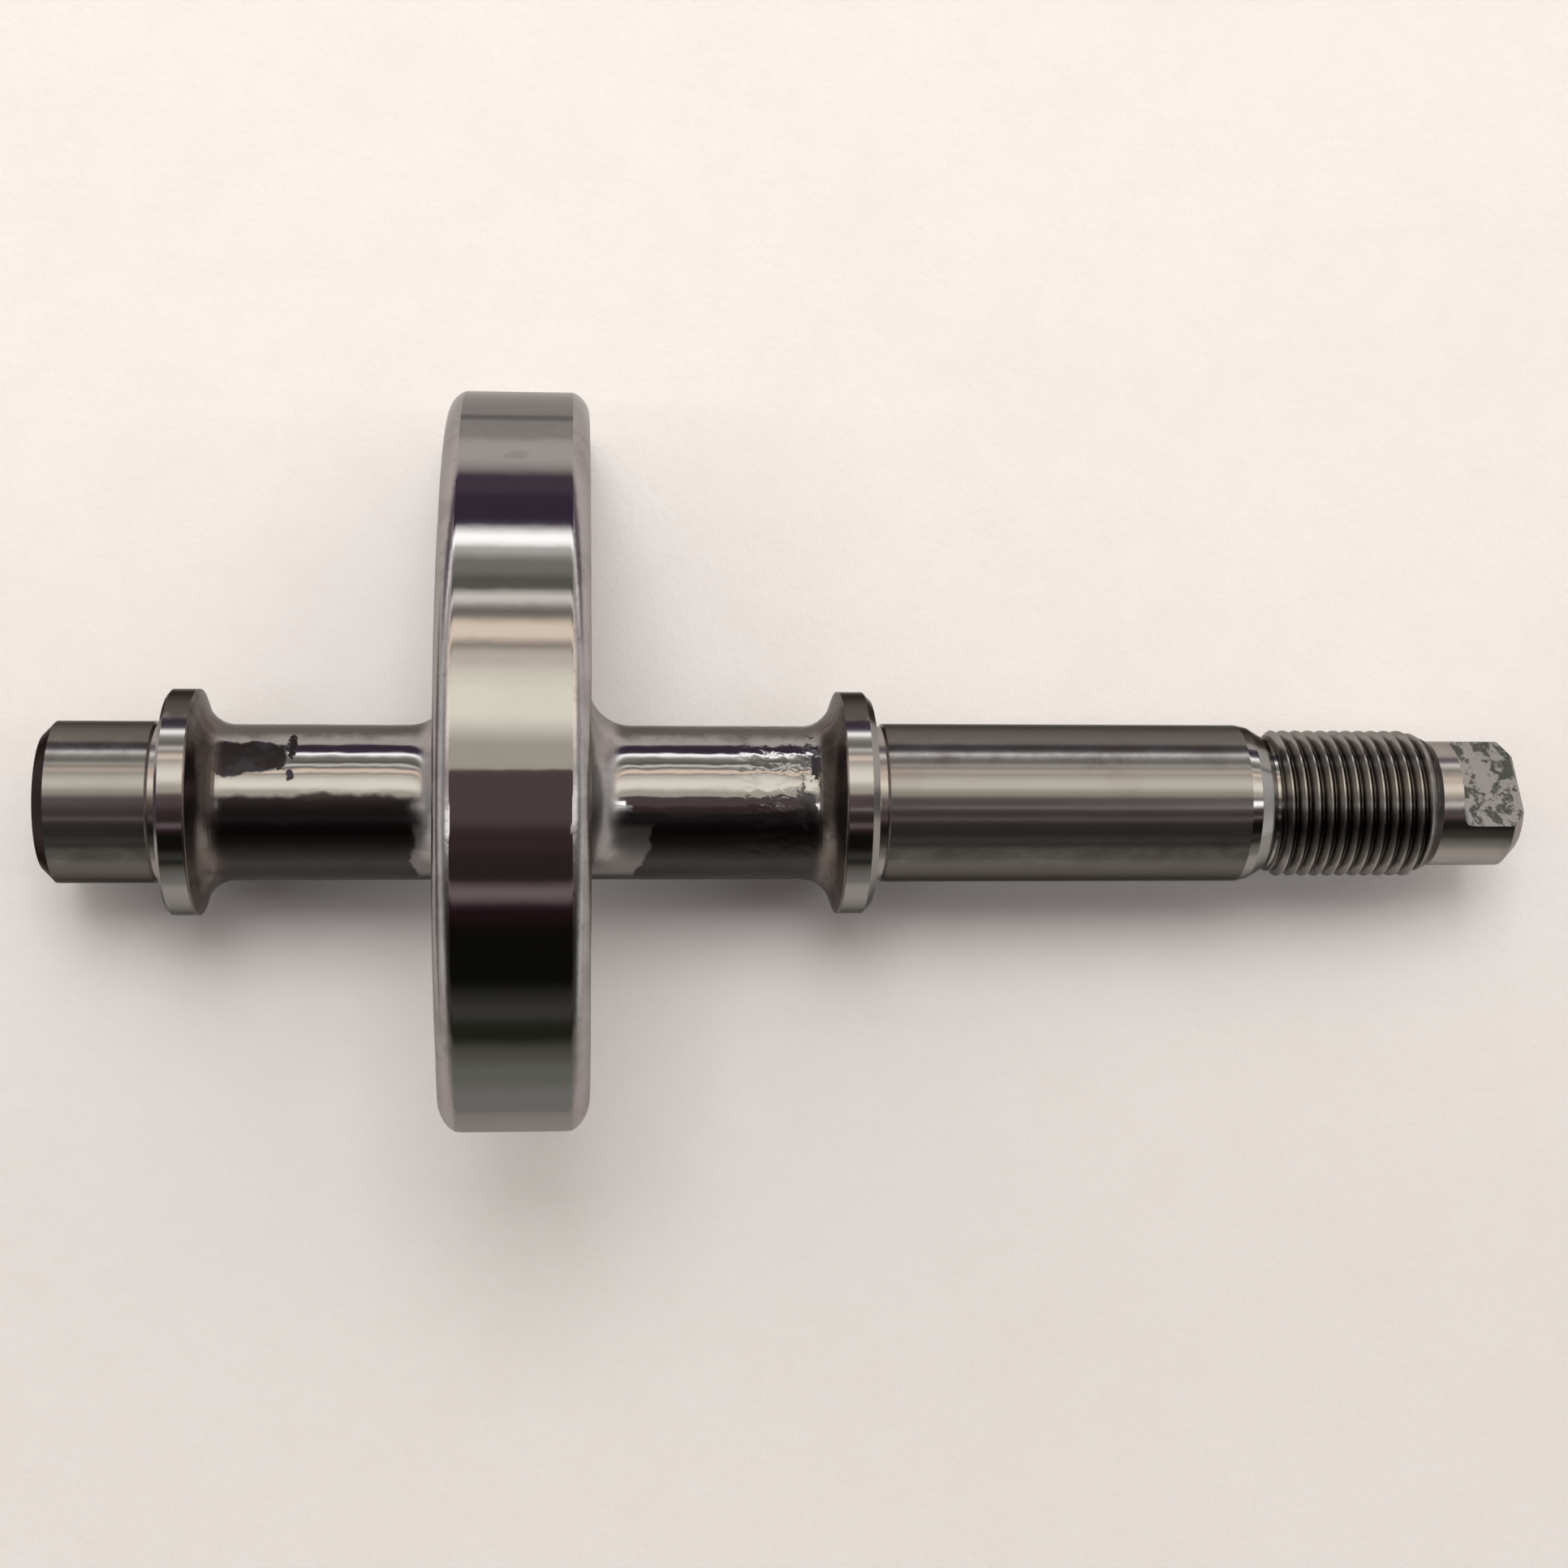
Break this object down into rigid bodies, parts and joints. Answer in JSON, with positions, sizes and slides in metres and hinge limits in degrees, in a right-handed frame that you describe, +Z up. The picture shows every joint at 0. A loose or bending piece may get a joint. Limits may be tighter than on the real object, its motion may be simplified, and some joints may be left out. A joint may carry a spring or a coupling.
{
  "type": "balance shaft",
  "caption": "One-piece forged engine balance shaft with a sector weight, two ground bearing seats behind shoulders, a threaded end and a flatted tip.",
  "frame": {"origin": "on the shaft's axis, at the inner end of the short bearing seat, where its undercut begins", "axes": "+X along the shaft to the threaded end, +Z up as the shaft lies on a table, +Y to the side where the weight's rim touches the table"},
  "size_m": [0.1386, 0.065, 0.0485],
  "materials": {
    "steel": "bright ground seats and turned lands, turned weight rim, smooth as-forged necks, flanks and weight sides"
  },
  "bodies": {
    "root": {"balance_shaft": "steel"}
  },
  "joints": []
}
